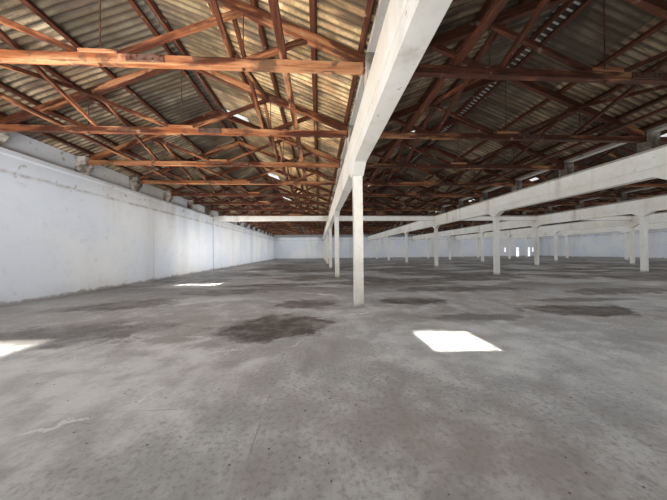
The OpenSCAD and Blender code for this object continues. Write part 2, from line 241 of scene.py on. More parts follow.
# Grit in a cast or plastered face, as a height for a bump
grit, given, out = shared_effect("grit", "Height", Vector=None, Scale=1.0)
coarse = noise(grit, given["Vector"], given["Scale"], 6, 0.66)
finer = times(grit, given["Scale"], 9.0)
pits = add(grit, "TexVoronoi", {"Vector": given["Vector"], "Scale": finer}, feature="F1")
pits = between(grit, pits.outputs["Distance"], 0.0, 0.22, -0.3, 0.0)
set_inputs(grit, out, {"Height": number(grit, "ADD", coarse, pits)})

# A blotch that was spilt in one place: an ellipse with a ragged edge
stain, given, out = shared_effect("oil_stain", "Mask", Vector=None, Centre=None, Reach=None,
                                  Turn=None, Ragged=0.0)
inside = add(stain, "Mapping", {"Vector": given["Vector"], "Location": given["Centre"],
                                "Rotation": given["Turn"], "Scale": given["Reach"]},
             vector_type="TEXTURE")
away = add(stain, "VectorMath", {0: inside.outputs[0]}, operation="LENGTH").outputs["Value"]
lift = number(stain, "SUBTRACT", given["Ragged"], away)
set_inputs(stain, out, {"Mask": between(stain, lift, -0.95, -0.55)})


def ragged(tree, at, scale, level, softness):
    """A mask of ragged patches."""
    return placed(tree, patches, Vector=at, Scale=scale, Level=level, Softness=softness)


def bumped(tree, height, strength, distance):
    """The normal of a face that a height makes uneven."""
    return add(tree, "Bump", {"Height": height, "Strength": strength,
                              "Distance": distance}).outputs[0]


def coat(material, *names):
    """Gives CAD nodes a material."""
    for name in names:
        parts[name].data.materials.clear()
        parts[name].data.materials.append(material)


floor_mat, tree, shader, place = finish("worn_concrete")
flat = stretched(tree, place, (1, 1, 0))
broad = noise(tree, flat, 0.55, 6, 0.6)
middle = noise(tree, flat, 3.2, 9, 0.68)
fine = noise(tree, flat, 42, 5, 0.7)
colour = mix(tree, between(tree, broad, 0.4, 0.62), (0.256, 0.238, 0.221, 1),
             (0.286, 0.29, 0.284, 1))
colour = mix(tree, between(tree, middle, 0.42, 0.64, 0.0, 0.85), colour, (0.4, 0.397, 0.386, 1))
colour = mix(tree, between(tree, fine, 0.46, 0.66, 0.0, 0.6), colour, (0.17, 0.155, 0.14, 1))
# Wear lies along the naves, where goods were dragged
dragged = noise(tree, stretched(tree, flat, (1.0, 0.3, 0)), 4.2, 7, 0.68)
colour = mix(tree, between(tree, dragged, 0.5, 0.74, 0.0, 0.55), colour, (0.215, 0.185, 0.165, 1))


def blots(table, ragged_by=1.9, scale=3.6, on=flat):
    """The strongest of several placed blotches: centre, reach, turn and strength of each."""
    edge = number(tree, "SUBTRACT", noise(tree, on, scale, 9, 0.7, distortion=0.4), 0.5)
    edge = times(tree, edge, ragged_by)
    most = 0.0
    for x, y, reach_x, reach_y, turn, strength in table:
        blot = placed(tree, stain, Vector=on, Centre=(x, y, 0), Reach=(reach_x, reach_y, 1),
                      Turn=(0, 0, turn), Ragged=edge)
        most = number(tree, "MAXIMUM", most, times(tree, blot, strength))
    return most


brown = ragged(tree, flat, 0.9, 0.5, 0.12)
colour = mix(tree, times(tree, brown, 0.35), colour, (0.26, 0.215, 0.185, 1))
# Pale dust down the middle of the first nave, and round the sunlit patch in the second a pale blot
# that is painted light
pale = blots(((-12.4, -12.0, 1.7, 1.0, 0.15, 0.75), (-9.2, -11.45, 1.2, 0.75, -0.1, 0.5),
              (-12.7, -9.3, 1.2, 0.4, 0.1, 0.55), (-9.9, -10.3, 1.0, 0.3, 0.2, 0.4),
              (-8.0, -12.2, 1.5, 0.6, 0.0, 0.35)), 1.2, 3.2)
pale = times(tree, pale, between(tree, middle, 0.36, 0.6, 0.35, 1.0))
colour = mix(tree, pale, colour, (0.5, 0.495, 0.48, 1))
damp = blots(((-11.0, -10.85, 0.72, 0.55, 0.25, 1.0), (-10.75, -9.75, 0.6, 0.4, 0.0, 0.85),
              (-13.45, -9.5, 1.0, 0.5, 0.35, 0.85), (-13.0, -10.9, 1.1, 0.45, 0.1, 0.75),
              (-12.5, -8.5, 1.3, 0.5, 0.1, 0.85), (-11.7, -7.6, 1.5, 0.4, 0.05, 0.9),
              (-9.15, -9.7, 0.7, 0.34, -0.15, 0.95), (-8.75, -10.7, 0.7, 0.2, -0.1, 0.65),
              (-7.2, -10.5, 0.95, 0.38, -0.1, 0.95), (-6.6, -9.9, 1.0, 0.2, 0.0, 0.7),
              (-7.7, -8.6, 1.8, 0.5, -0.05, 0.9), (-5.0, -9.2, 1.5, 0.45, 0.1, 0.8)))
# Further off the slab is blotched all over, and painted shade makes it darker
puddle = ragged(tree, stretched(tree, flat, (0.5, 1.0, 0)), 0.75, 0.44, 0.09)
along = axes(tree, place)
puddle = times(tree, puddle, between(tree, along["Y"], -10.0, -7.0, 0.0, 0.95))
damp = number(tree, "MAXIMUM", damp, puddle)
damp = times(tree, damp, between(tree, middle, 0.32, 0.55, 0.35, 1.0))
damp = times(tree, damp, between(tree, fine, 0.3, 0.6, 0.75, 1.0))
colour = mix(tree, damp, colour, (0.056, 0.043, 0.034, 1))
# Painted shade: the far part of the floor is darkened
far_painted_shade = between(tree, along["Y"], -9.0, -4.0, 0.0, 0.4)
colour = mix(tree, far_painted_shade, colour, tint(tree, colour, (0.42, 0.43, 0.45, 1)))
# Grit and chips: a dark speck in some of the cells of a fine net
speck = add(tree, "TexVoronoi", {"Vector": flat, "Scale": 8.0}, feature="F1",
            voronoi_dimensions="2D")
least = axes(tree, speck.outputs["Color"])["X"]
speck = number(tree, "SUBTRACT", between(tree, least, 0.45, 1.0, 0.0, 0.046),
               speck.outputs["Distance"])
colour = mix(tree, between(tree, speck, 0.0, 0.012, 0.0, 0.85), colour, (0.045, 0.038, 0.03, 1))
# Cracks wander across the flat slab, and are pale because they were filled
wander = noise(tree, flat, 5.0, 6, 0.6).node.outputs["Color"]
wander = add(tree, "VectorMath", {0: wander, 1: (0.5, 0.5, 0.5)}, operation="SUBTRACT").outputs[0]
wander = add(tree, "VectorMath", {0: wander, 1: (0.3, 0.3, 0), 2: flat},
             operation="MULTIPLY_ADD").outputs[0]
crack = blots(((-11.74, -12.27, 0.2, 0.014, 0.5, 1.0), (-11.5, -12.09, 0.13, 0.01, 0.9, 0.9),
               (-12.08, -12.42, 0.24, 0.012, 0.3, 0.8), (-11.35, -11.5, 0.2, 0.01, 0.35, 0.8),
               (-10.75, -11.35, 0.16, 0.01, 0.8, 0.7), (-10.05, -10.4, 0.34, 0.026, 0.35, 0.8),
               (-10.6, -8.9, 0.55, 0.04, -0.5, 0.9), (-11.7, -11.1, 0.16, 0.02, 0.0, 0.8)),
              1.9, 11.0, wander)
colour = mix(tree, times(tree, crack, 0.7), colour, (0.56, 0.55, 0.53, 1))
# Joints between the cast fields, 2 m apart each way
joint = 0.0
for axis, shift in (("X", 0.83), ("Y", 0.2)):
    across = number(tree, "PINGPONG", number(tree, "ADD", along[axis], shift), 1.0)
    joint = number(tree, "MAXIMUM", joint, between(tree, across, 0.004, 0.0015))
joint = times(tree, joint, between(tree, middle, 0.46, 0.6, 0.0, 0.5))
colour = mix(tree, joint, colour, (0.12, 0.11, 0.1, 1))
rough = between(tree, middle, 0.35, 0.7, 0.5, 0.78)
rough = number(tree, "SUBTRACT", rough, times(tree, damp, 0.2))
bump = bumped(tree, placed(tree, grit, Vector=flat, Scale=6.0), 0.25, 0.012)
set_inputs(tree, shader, {"Base Color": colour, "Roughness": rough, "Normal": bump})
coat(floor_mat, "floor_slab")


# ---- Walls, gables, ring beams and piers
# The outer walls are masonry with cement plaster under old whitewash. Rain that blew in under
# the sheets has run down them, and dust and damp darken the foot.
# Water that has run down a wall: narrow streaks, long in Z, that come and go along the wall
runs, given, out = shared_effect("water_runs", "Mask", Vector=None, Spacing=4.0, Level=0.5)
thin = stretched(runs, given["Vector"], (1, 1, 0.07))
wide = stretched(runs, given["Vector"], (1, 1, 0.25))
streak = between(runs, noise(runs, thin, times(runs, given["Spacing"], 3.1), 5, 0.6), 0.42, 0.75)
top = number(runs, "ADD", given["Level"], 0.22)
where = between(runs, noise(runs, wide, given["Spacing"], 3), given["Level"], top)
set_inputs(runs, out, {"Mask": times(runs, streak, where)})

wall_mat, tree, shader, place = finish("old_whitewash")
along = axes(tree, place)
broad = noise(tree, place, 0.5, 4)
middle = noise(tree, place, 4.5, 9, 0.65)
colour = mix(tree, between(tree, broad, 0.38, 0.62), (0.6, 0.645, 0.715, 1), (0.68, 0.7, 0.715, 1))
colour = mix(tree, between(tree, middle, 0.45, 0.75, 0.0, 0.3), colour, (0.5, 0.515, 0.53, 1))
upright = noise(tree, stretched(tree, place, (0.8, 0.8, 0.12)), 1.3, 3, 0.45)
# Soft upright grey bands on the wall are painted shadows of the trusses and columns
colour = mix(tree, between(tree, upright, 0.5, 0.72, 0.0, 0.42), colour, (0.46, 0.455, 0.44, 1))
bare = times(tree, ragged(tree, place, 5.0, 0.62, 0.03),
             between(tree, along["Z"], 1.95, 2.15, 0.15, 0.65))
colour = mix(tree, bare, colour, (0.26, 0.235, 0.2, 1))
run = placed(tree, runs, Vector=place, Spacing=0.85, Level=0.48)
run = times(tree, run, between(tree, along["Z"], 0.9, 2.2, 0.15, 0.6))
colour = mix(tree, run, colour, (0.25, 0.19, 0.135, 1))
# Outside, weather has greyed the whitewash
edge_x = between(tree, number(tree, "ABSOLUTE", along["X"]), 15.3, 15.4)
edge_y = between(tree, number(tree, "ABSOLUTE", along["Y"]), 14.1, 14.15)
outer = number(tree, "MAXIMUM", edge_x, edge_y)
greyed = mix(tree, between(tree, upright, 0.36, 0.62), (0.84, 0.84, 0.82, 1), (0.62, 0.61, 0.58, 1))
colour = mix(tree, outer, colour, tint(tree, colour, greyed))
# The joint below the ring beam is grey with dirt
seam = number(tree, "ABSOLUTE", number(tree, "SUBTRACT", along["Z"], 2.1))
seam = times(tree, between(tree, seam, 0.05, 0.0), between(tree, middle, 0.4, 0.6, 0.15, 0.7))
colour = mix(tree, seam, colour, (0.3, 0.25, 0.2, 1))
foot = number(tree, "ADD", along["Z"], times(tree, middle, -0.22))
colour = mix(tree, between(tree, foot, 0.04, -0.02, 0.0, 0.8), colour, (0.25, 0.225, 0.2, 1))
bump = bumped(tree, placed(tree, grit, Vector=place, Scale=7.0), 0.35, 0.01)
set_inputs(tree, shader, {"Base Color": colour, "Roughness": 0.86, "Normal": bump})
coat(wall_mat, "left_wall", "right_wall", "front_wall", "rear_wall", "front_gables",
     "rear_gables", "left_ring_beam", "right_ring_beam", "left_wall_piers", "right_wall_piers")


# ---- Columns, valley beams, cross beam and blocks
# They are reinforced concrete cast in boards and painted cream white. Drips run down the
# beams' sides from the gutters, and the paint is chipped here and there.
cast_mat, tree, shader, place = finish("painted_concrete")
along = axes(tree, place)
broad = noise(tree, place, 1.1, 5)
middle = noise(tree, place, 9, 9, 0.68)
colour = mix(tree, between(tree, broad, 0.38, 0.62), (0.67, 0.64, 0.58, 1), (0.72, 0.71, 0.68, 1))
colour = mix(tree, between(tree, middle, 0.45, 0.75, 0.0, 0.4), colour, (0.5, 0.47, 0.415, 1))
run = placed(tree, runs, Vector=place, Spacing=1.7, Level=0.49)
colour = mix(tree, times(tree, run, 0.65), colour, (0.25, 0.2, 0.15, 1))
chip = ragged(tree, place, 13, 0.66, 0.02)
colour = mix(tree, times(tree, chip, 0.8), colour, (0.3, 0.27, 0.235, 1))
foot = number(tree, "ADD", along["Z"], times(tree, middle, -0.2))
colour = mix(tree, between(tree, foot, 0.08, -0.02, 0.0, 0.7), colour, (0.26, 0.23, 0.2, 1))
bump = bumped(tree, placed(tree, grit, Vector=place, Scale=10.0), 0.35, 0.006)
set_inputs(tree, shader, {"Base Color": colour, "Roughness": 0.75, "Normal": bump})
coat(cast_mat, *[f"columns_row_{k}" for k in range(1, 6)],
     *[f"valley_beam_{k}" for k in range(1, 6)], "cross_beam")
# The bearing blocks stand in the dust and soot below the sheets
block_mat, tree, shader, place = finish("sooty_concrete")
soot = ragged(tree, place, 3.4, 0.32, 0.25)
across = number(tree, "ABSOLUTE", axes(tree, place)["X"])
soot = times(tree, soot, between(tree, across, 14.0, 14.9, 0.85, 1.0))
middle = noise(tree, place, 14, 8, 0.66)
colour = mix(tree, middle, (0.5, 0.47, 0.42, 1), (0.6, 0.58, 0.54, 1))
colour = mix(tree, soot, colour, (0.1, 0.075, 0.055, 1))
bump = bumped(tree, placed(tree, grit, Vector=place, Scale=10.0), 0.4, 0.006)
set_inputs(tree, shader, {"Base Color": colour, "Roughness": 0.85, "Normal": bump})
coat(block_mat, "beam_blocks", "wall_blocks")


# ---- Timber of the trusses
# Tie beams, rafters and struts are squared softwood, sawn and then painted red brown. Where the
# paint has weathered off, bare orange wood shows, with dark cracks along the grain.
def alone(piece):
    """Makes a piece the one that is selected."""
    bpy.ops.object.select_all(action="DESELECT")
    piece.select_set(True)
    bpy.context.view_layer.objects.active = piece


def pick(piece, kind, fits):
    """Opens a piece in edit mode with those corners, edges or faces selected that fit."""
    bpy.ops.object.mode_set(mode="EDIT")
    bpy.ops.mesh.select_mode(type=kind)
    bpy.ops.mesh.select_all(action="DESELECT")
    bpy.ops.object.mode_set(mode="OBJECT")
    mesh = piece.data
    for item in {"VERT": mesh.vertices, "EDGE": mesh.edges, "FACE": mesh.polygons}[kind]:
        item.select = fits(item)
    bpy.ops.object.mode_set(mode="EDIT")


def ends(piece, edge):
    """The two corners of an edge."""
    return [piece.data.vertices[i].co for i in edge.vertices]


def shape(piece, kind, **settings):
    """Puts a modifier on a piece and applies it."""
    alone(piece)
    made = piece.modifiers.new(kind.lower(), kind)
    for name, value in settings.items():
        setattr(made, name, value)
    bpy.ops.object.modifier_apply(modifier=made.name)


def joined(name, pieces):
    """Joins pieces into one mesh."""
    alone(pieces[0])
    for piece in pieces:
        piece.select_set(True)
    if len(pieces) > 1:
        bpy.ops.object.join()
    pieces[0].name = pieces[0].data.name = name
    return pieces[0]


def cut(piece, at, outwards, saw=True):
    """Saws off what lies outwards of a plane, or only scores the piece there."""
    alone(piece)
    bpy.ops.object.mode_set(mode="EDIT")
    bpy.ops.mesh.select_all(action="SELECT")
    bpy.ops.mesh.bisect(plane_co=at, plane_no=outwards, use_fill=saw, clear_outer=saw)
    bpy.ops.object.mode_set(mode="OBJECT")


def timber(start, end, width, depth, scores=3, uneven=0.002, seed=1, side=None, bare=0.3):
    """A squared timber whose lower face runs from start to end, with a share of bare wood."""
    start, end = Vector(start), Vector(end)
    run = (end - start).normalized()
    side = side or Vector((0, 1, 0) if abs(run.x) > 0.5 else (1, 0, 0))
    up = run.cross(side)
    up = up if up.z > 0 else -up
    bpy.ops.object.select_all(action="DESELECT")
    bpy.ops.mesh.primitive_cube_add(size=1)
    piece = bpy.context.object
    piece.matrix_world = (Matrix.Translation((start + end) / 2 + up * depth / 2)
                          @ Matrix((run, side, up)).transposed().to_4x4()
                          @ Matrix.Diagonal(((end - start).length, width, depth, 1)))
    bpy.ops.object.transform_apply()
    for i in range(scores):
        cut(piece, start.lerp(end, (i + 1) / (scores + 1)), run, saw=False)
    # Its corners and scored rings are pushed about a little, so that none is dead straight
    bpy.ops.object.mode_set(mode="EDIT")
    bpy.ops.mesh.select_all(action="SELECT")
    bpy.ops.mesh.normals_make_consistent(inside=False)
    bpy.ops.transform.vertex_random(offset=uneven, seed=seed)

    def lengthwise(edge):
        a, b = ends(piece, edge)
        return abs((b - a).normalized().dot(run)) > 0.9

    pick(piece, "EDGE", lengthwise)
    bpy.ops.mesh.bevel(offset=0.0035, segments=1, affect="EDGES")
    bpy.ops.object.mode_set(mode="OBJECT")
    # The grain's own frame: along the timber, across it and up, shifted for each timber
    grain = piece.data.attributes.new("grain", "FLOAT_VECTOR", "POINT")
    for corner, value in zip(piece.data.vertices, grain.data):
        away = corner.co - start
        value.vector = (away.dot(run) + seed * 3.7, away.dot(side) + seed * 0.31, away.dot(up))
    share = piece.data.attributes.new("bare", "FLOAT", "POINT")
    for value in share.data:
        value.value = bare
    return piece


def moved(piece, way):
    """Moves a finished piece, with its object kept at the origin."""
    alone(piece)
    bpy.ops.transform.translate(value=way)
    bpy.ops.object.transform_apply()
    return piece


def both_sides(piece):
    """Mirrors a piece across the middle of its nave."""
    shape(piece, "MIRROR", use_axis=(True, False, False), use_mirror_merge=False)
    return piece


# For the outer and the inner half span: the first such nave's middle, the step to the next one
# and how many there are
inner_half, outer_half = 2.5, 2.585
outer_x = 4 * inner_half + outer_half
half_spans = {outer_half: (-outer_x, 2 * outer_x, 2),
              inner_half: (-3 * inner_half, 2 * inner_half, 4)}
tie_w, truss_pitch, truss_count = 0.07, 1.4, 20
first_truss_y = extent("tie_beams", 1)[0] + tie_w / 2


def in_all_naves(name, make, along=truss_count, pitch=truss_pitch, first_y=first_truss_y):
    """Makes a piece for each half span, and repeats it along the naves and across the hall."""
    kinds = []
    for half, (first_x, step, naves) in half_spans.items():
        piece = moved(make(half), (first_x, first_y if along > 1 else 0, 0))
        for count, way in ((along, (0, pitch, 0)), (naves, (step, 0, 0))):
            if count > 1:
                shape(piece, "ARRAY", count=count, use_relative_offset=False,
                      use_constant_offset=True, constant_offset_displace=way)
        kinds.append(piece)
    return joined(name, kinds)


def dress(piece, material, slot, *nodes):
    """Gives a finished piece its material and puts it in the CAD nodes' place."""
    piece.data.materials.clear()
    piece.data.materials.append(material)
    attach(piece, "root")
    if nodes:
        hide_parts(*nodes)


timber_mat, tree, shader, place = finish("weathered_timber")
grain = add(tree, "Attribute", attribute_name="grain").outputs["Vector"]
along = axes(tree, place)
# Each truss of each nave gets its own number, which moves the pattern and changes the tone
nave_cell = 5.05
nave_number = number(tree, "FLOOR", number(tree, "DIVIDE", along["X"], nave_cell))
truss_number = number(tree, "SUBTRACT", along["Y"], first_truss_y - truss_pitch / 2)
truss_number = number(tree, "FLOOR", number(tree, "DIVIDE", truss_number, truss_pitch))
cell = add(tree, "CombineXYZ", {0: nave_number, 1: truss_number}).outputs[0]
chance, hue = add(tree, "TexWhiteNoise", {"Vector": cell}, noise_dimensions="3D").outputs
shift = add(tree, "VectorMath", {0: hue, "Scale": 17.0}, operation="SCALE").outputs[0]
own = add(tree, "VectorMath", {0: grain, 1: shift}, operation="ADD").outputs[0]
long_way = stretched(tree, own, (0.6, 9, 9))
fibre = noise(tree, long_way, 9, 5, 0.7)
band = noise(tree, long_way, 1.6, 5, 0.55, distortion=0.6)
split = noise(tree, stretched(tree, own, (1.3, 22, 22)), 1.7, 4, 0.6)
split = between(tree, split, 0.64, 0.7)
bare_share = add(tree, "Attribute", attribute_name="bare").outputs["Fac"]
bare = number(tree, "ADD", bare_share, between(tree, chance, 0.0, 1.0, -0.16, 0.16))
level = number(tree, "SUBTRACT", 0.72, times(tree, bare, 0.5))
peel = ragged(tree, stretched(tree, own, (0.42, 2.4, 2.4)), 2.4, level, 0.09)
painted = mix(tree, between(tree, fibre, 0.35, 0.7), (0.05, 0.0175, 0.0105, 1),
              (0.165, 0.056, 0.028, 1))
bare_wood = mix(tree, between(tree, band, 0.35, 0.65), (0.3, 0.1, 0.038, 1), (0.6, 0.32, 0.16, 1))
bare_wood = mix(tree, between(tree, fibre, 0.45, 0.78, 0.0, 0.65), bare_wood,
                (0.15, 0.06, 0.028, 1))
colour = mix(tree, peel, painted, bare_wood)
colour = mix(tree, between(tree, chance, 0.0, 1.0, 0.0, 0.7), colour,
             tint(tree, colour, (0.5, 0.42, 0.4, 1)))
# Lime dust clings to it in places, cracks are black, and mould darkens patches
lime = ragged(tree, own, 7.0, 0.62, 0.05)
colour = mix(tree, times(tree, lime, 0.45), colour, (0.42, 0.34, 0.28, 1))
colour = mix(tree, times(tree, split, 0.9), colour, (0.02, 0.01, 0.006, 1))
mould = ragged(tree, own, 3.1, 0.56, 0.08)
colour = mix(tree, times(tree, mould, 0.7), colour, (0.045, 0.03, 0.023, 1))
# The splice boards, which keep nearly all of their paint, have a pale crust
crust = times(tree, ragged(tree, own, 16.0, 0.4, 0.12), between(tree, bare_share, 0.14, 0.1))
colour = mix(tree, times(tree, crust, 0.85), colour, (0.15, 0.115, 0.095, 1))
height = number(tree, "SUBTRACT", times(tree, fibre, 0.5), times(tree, split, 0.8))
bump = bumped(tree, height, 0.5, 0.004)
set_inputs(tree, shader, {"Base Color": colour, "Normal": bump,
                          "Roughness": between(tree, peel, 0.0, 1.0, 0.62, 0.85)})

# Levels, slopes and sizes of the truss, as its CAD nodes have them
tie_low, tie_top = extent("tie_beams", 2)
beam_w = 2 * extent("valley_beam_3", 0)[1]
roof_pitch = math.radians(21.5)
slope = math.tan(roof_pitch)
rafter_depth, rafter_foot, rafter_seat = 0.095, 0.08, 0.14
rod_share, head_share = 0.51, 0.77
rafter_w, strut_w, strut_d = 0.064, 0.045, 0.05
tie_in_block, bolster_half, king_room, rod_room = 0.05, 0.175, 0.007, 0.012


def rafter_low(d):
    """Height of the rafters' lower face at a distance from the bearing line."""
    return tie_top + (d - rafter_seat) * slope


def rafter_top(d):
    """Height of their upper face there."""
    return rafter_low(d) + rafter_depth / math.cos(roof_pitch)


def tie_beam(half):
    """A tie beam reaches into the blocks at both ends."""
    reach = half - beam_w / 2 + tie_in_block
    return timber((-reach, 0, tie_low), (reach, 0, tie_low), tie_w, tie_top - tie_low, scores=5,
                  seed=2, bare=0.5)


def rafter(half):
    """A rafter seats on the tie beam and meets its twin at the ridge, beside the king rod."""
    foot, head = half + 0.1, -0.1
    piece = timber((foot, 0, rafter_low(half - foot)), (head, 0, rafter_low(half - head)),
                   rafter_w, rafter_depth, scores=4, seed=5, bare=0.32)
    cut(piece, (half - rafter_foot, 0, 0), (1, 0, 0))
    cut(piece, (0, 0, tie_top), (0, 0, -1))
    cut(piece, (king_room, 0, 0), (-1, 0, 0))
    return both_sides(piece)


def strut(toe, head, butt, half, seed):
    """A strut climbs from its toe on the tie beam to the rafter, with its ends sawn to fit."""
    low, high = Vector((toe, 0, tie_top)), Vector((head, 0, rafter_low(half - head)))
    run = (high - low) * 0.25
    piece = timber(low - run, high + run, strut_w, strut_d, scores=2, uneven=0.0012,
                   seed=seed, bare=0.26)
    cut(piece, (butt, 0, 0), (-1, 0, 0))
    cut(piece, (0, 0, tie_top), (0, 0, -1))
    cut(piece, high, (slope, 0, 1))
    return piece


def struts(half):
    """The inner strut starts at the bolster's end, and the outer one beside the side rod."""
    side = rod_share * half
    return both_sides(joined("strut", [
        strut(bolster_half + 0.035, side - rod_room, bolster_half, half, 7),
        strut(side + 0.112, head_share * half - 0.05, side + rod_room, half, 8)]))


def sawn(name, make, node, *spacing):
    """Makes one kind of timber for the whole roof."""
    dress(in_all_naves(name, make, *spacing), timber_mat, "roof_timber", node)


sawn("tie_beams_sawn", tie_beam, "tie_beams")
sawn("rafters_sawn", rafter, "rafters")
sawn("struts_sawn", struts, "struts")


# ---- Bolsters and splice boards
# A short timber lies on each tie beam's middle for the inner struts to push against. Right of
# it the tie beam is spliced, with a board bolted on each face.
def hexagon_head(at, way, across=0.019, thick=0.008):
    """A hexagon head or nut whose back lies at a point and which stands out along a way."""
    way = Vector(way)
    bpy.ops.object.select_all(action="DESELECT")
    bpy.ops.mesh.primitive_cylinder_add(vertices=6, radius=across / 2, depth=thick)
    piece = bpy.context.object
    pick(piece, "FACE", lambda face: face.normal.z > 0.9)
    bpy.ops.mesh.inset(thickness=across * 0.12, depth=thick * 0.25)
    bpy.ops.object.mode_set(mode="OBJECT")
    piece.matrix_world = (Matrix.Translation(Vector(at) + way * thick / 2)
                          @ way.to_track_quat("Z", "Y").to_matrix().to_4x4())
    bpy.ops.object.transform_apply()
    return piece


tie_side, bolster_h = tie_w / 2, 0.04
splice_near, splice_far, board_t, board_h = 0.26, 0.6, 0.014, 0.068
board_low = (tie_low + tie_top - board_h) / 2


def bolster(half):
    """A bolster is the same in all naves."""
    return timber((-bolster_half, 0, tie_top), (bolster_half, 0, tie_top), tie_w, bolster_h,
                  scores=1, uneven=0.001, seed=11, bare=0.95)


def splice_boards(half):
    """Two boards, one on each face of the tie beam."""
    return joined("boards", [
        timber((splice_near, y, board_low), (splice_far, y, board_low), board_t, board_h,
               scores=1, uneven=0.0007, seed=seed, bare=0.12)
        for y, seed in ((-tie_side - board_t / 2, 12), (tie_side + board_t / 2, 13))])


def splice_bolts(half):
    """Heads and nuts of four bolts, on both boards."""
    return joined("bolts", [
        hexagon_head((x, way * (tie_side + board_t), z), (0, way, 0))
        for way in (-1, 1)
        for x, z in ((0.295, 2.66), (0.36, 2.685), (0.5, 2.66), (0.565, 2.685))])


sawn("bolsters_sawn", bolster, "king_bolsters")
sawn("splice_boards_sawn", splice_boards, "splice_boards")


# ---- Iron rods and bolts
# The king rod hangs the tie beam's middle from the ridge, and a rod hangs it at each side. The
# rods are plain round iron with a square plate and a hexagon nut under the tie beam, all rusty.
iron_mat, tree, shader, place = finish("rusty_iron")
rust = noise(tree, place, 24, 9, 0.7)
colour = mix(tree, between(tree, rust, 0.35, 0.68), (0.045, 0.032, 0.026, 1),
             (0.2, 0.078, 0.034, 1))
bump = bumped(tree, rust, 0.5, 0.001)
set_inputs(tree, shader, {"Base Color": colour, "Normal": bump, "Metallic": 0.35,
                          "Roughness": between(tree, rust, 0.3, 0.7, 0.5, 0.85)})
rod_r, rod_foot, plate_w, plate_t = 0.006, tie_low - 0.019, 0.036, 0.003


def rod(x, high):
    """A rod from its foot below the nut up to its head, with its plate and nut."""
    bpy.ops.object.select_all(action="DESELECT")
    bpy.ops.mesh.primitive_cylinder_add(vertices=10, radius=rod_r, depth=high - rod_foot,
                                        location=(x, 0, (rod_foot + high) / 2))
    shank = bpy.context.object
    bpy.ops.object.transform_apply()
    pick(shank, "FACE", lambda face: abs(face.normal.z) > 0.9)
    bpy.ops.mesh.inset(thickness=0.0012, depth=0.0012, use_individual=True)
    bpy.ops.mesh.select_all(action="DESELECT")
    bpy.ops.mesh.primitive_cube_add(size=1, location=(x, 0, tie_low - plate_t / 2),
                                    scale=(plate_w, plate_w, plate_t))
    bpy.ops.mesh.bevel(offset=0.0006, segments=1, affect="EDGES")
    bpy.ops.object.mode_set(mode="OBJECT")
    return joined("rod", [shank, hexagon_head((x, 0, tie_low - plate_t), (0, 0, -1), 0.022)])


def rods(half):
    """The king rod and the two side rods of a truss."""
    side = rod_share * half
    return joined("rods", [rod(0, rafter_top(half) - 0.01)] + [
        rod(way * side, rafter_low(half - side)) for way in (-1, 1)])


dress(in_all_naves("tie_rods_iron", rods), iron_mat, "iron_rod", "tie_rods")
dress(in_all_naves("splice_bolts_iron", splice_bolts), iron_mat, "iron_rod")


# ---- Binders and sway braces
# Binders are flat timbers nailed across the tops of the tie beams, and braces climb from one tie
# beam to the next rafter so that the trusses can't lean over. In every other gap two braces cross.
hall_end = extent("binders", 1)[1]
binder_share, binder_w, binder_h = 0.66, 0.07, 0.045
brace_t, brace_gap = 0.045, 0.02


def binder(half):
    """A binder on each side of the nave, from end wall to end wall."""
    x = binder_share * half
    return both_sides(timber((x, -hall_end, tie_top), (x, hall_end, tie_top), binder_w,
                             binder_h, scores=19, uneven=0.003, seed=14, bare=0.3))


def brace(half, plane, way):
    """A brace from a tie beam at y = 0 to the next rafter, towards +Y or -Y."""
    x = rod_share * half - rod_r - plane * (brace_gap + brace_t)
    low = Vector((x + brace_t / 2, way * tie_side, tie_top))
    head_y = truss_pitch - rafter_w / 2
    high = Vector((x + brace_t / 2, way * head_y, rafter_low(half - x - brace_t)))
    run = (high - low) * 0.12
    piece = timber(low - run, high + run, brace_t, brace_t, scores=3, uneven=0.002,
                   seed=15 + plane, bare=0.28)
    cut(piece, (0, -way * tie_side, 0), (0, -way, 0))
    cut(piece, (0, 0, tie_top), (0, 0, -1))
    cut(piece, (0, way * head_y, 0), (0, way, 0))
    return both_sides(piece)


sawn("binders_sawn", binder, "binders", 1)
forward = in_all_naves("forward", lambda half: brace(half, 1, 1), truss_count // 2, 2 * truss_pitch)
backward = in_all_naves("backward", lambda half: moved(brace(half, 2, -1), (0, truss_pitch, 0)),
                        truss_count - 1)
dress(joined("sway_braces_sawn", [forward, backward]), timber_mat, "roof_timber", "sway_braces")


# ---- Purlins
# Five purlins a slope run from end wall to end wall, on the rafters and square to the slope.
# They are the same sawn timber, and the sheets are hooked to them.
purlin_w, purlin_h = 0.05, 0.06
eaves_at, slope_shares, below_ridge = 0.13, (0.64, 0.45, 0.23), 0.095
down_slope = Vector((math.cos(roof_pitch), 0, -math.sin(roof_pitch)))


def purlins(half, *places):
    """Purlins on both slopes, at distances from the bearing line."""
    return both_sides(joined("purlins", [
        timber((half - d, -hall_end, rafter_top(d)), (half - d, hall_end, rafter_top(d)),
               purlin_w, purlin_h, scores=19, uneven=0.0025, seed=20 + i, side=down_slope,
               bare=0.16)
        for i, d in enumerate(places)]))


sawn("eaves_purlins_sawn", lambda half: purlins(half, eaves_at), "eaves_purlins", 1)
sawn("slope_purlins_sawn", lambda half: purlins(half, *[share * half for share in slope_shares]),
     "slope_purlins", 1)
sawn("ridge_purlins_sawn", lambda half: purlins(half, half - below_ridge), "ridge_purlins", 1)


# ---- Roof sheets and rooflights
# The roofs are corrugated fibre-cement sheets, three courses a slope, each lapped over the one
# below. In each bay one sheet is translucent: beside the ridge on the right slope in odd naves,
# and in the middle course of the left slope in even ones.
sheet_t, wave_depth, lap_up, lap_down = 0.003, 0.025, 0.004, 0.06
roof_end = 14.2244
waves = 322
wave, wave_steps, waves_a_sheet = 2 * roof_end / waves, 8, 6
ridge_open, courses, bay = 0.02, 3, 4.0
